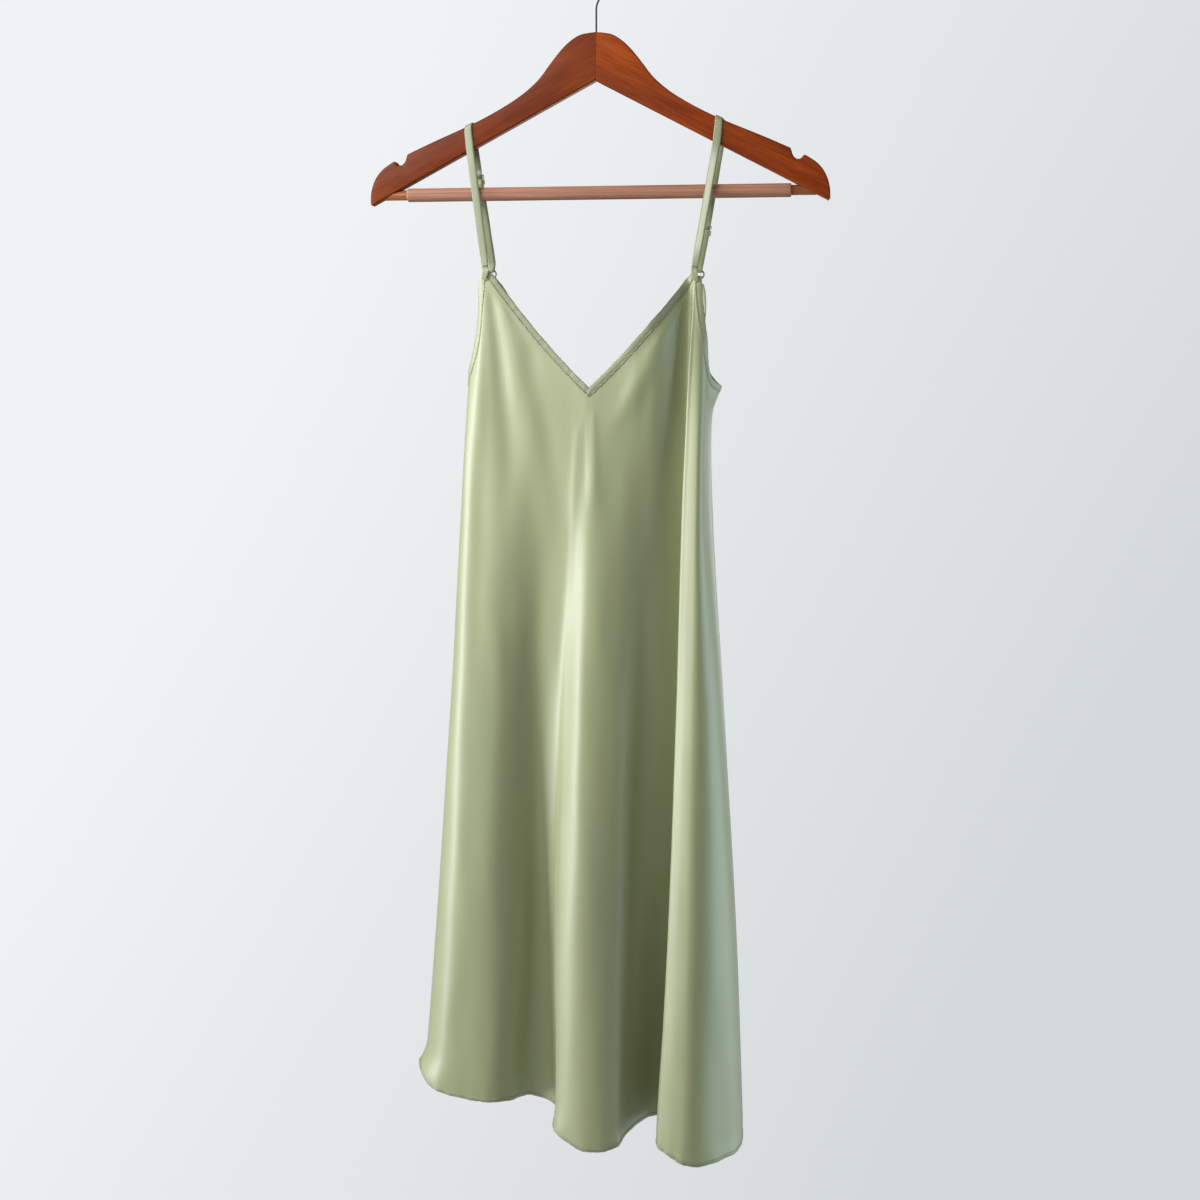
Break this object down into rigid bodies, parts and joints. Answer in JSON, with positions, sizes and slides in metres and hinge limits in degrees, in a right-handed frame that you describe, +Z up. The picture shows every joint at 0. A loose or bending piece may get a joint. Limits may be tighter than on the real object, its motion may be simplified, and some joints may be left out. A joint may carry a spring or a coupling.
{
  "type": "slip dress on a hanger",
  "caption": "Bias-cut satin slip dress with a V neck, bound edges and thin adjustable straps, hanging in soft folds from a flat wooden hanger with a sleeved trouser bar.",
  "frame": {"origin": "inner top of the hanger's hook, where a rail carries it", "axes": "+Z up, +X along the hanger to the wearer's left as seen from the front of the dress, the dress front faces -Y"},
  "size_m": [0.4452, 0.1412, 1.2121],
  "materials": {
    "satin": "smooth sage-green satin with a soft sheen",
    "binding": "folded self-fabric binding and strap ribbon, edge-stitched",
    "strap_hardware": "pale green dyed-to-match slider and ring",
    "wood": "cherry-stained wood under satin lacquer",
    "dowel": "turned wooden bar, lightly lacquered",
    "sleeve": "translucent ribbed non-slip sleeve",
    "hook_steel": "dull drawn wire"
  },
  "bodies": {
    "root": {"front_panel": "satin", "back_panel": "satin", "neck_binding_front": "binding", "neck_binding_back": "binding", "armhole_binding_left": "binding", "armhole_binding_right": "binding", "strap_left": "binding", "strap_right": "binding", "ring_tab_left": "binding", "ring_tab_right": "binding", "slider_left": "strap_hardware", "slider_right": "strap_hardware", "ring_left": "strap_hardware", "ring_right": "strap_hardware", "hanger_arm_left": "wood", "hanger_arm_right": "wood", "trouser_bar": "dowel", "bar_sleeve": "sleeve", "hook": "hook_steel"}
  },
  "joints": []
}
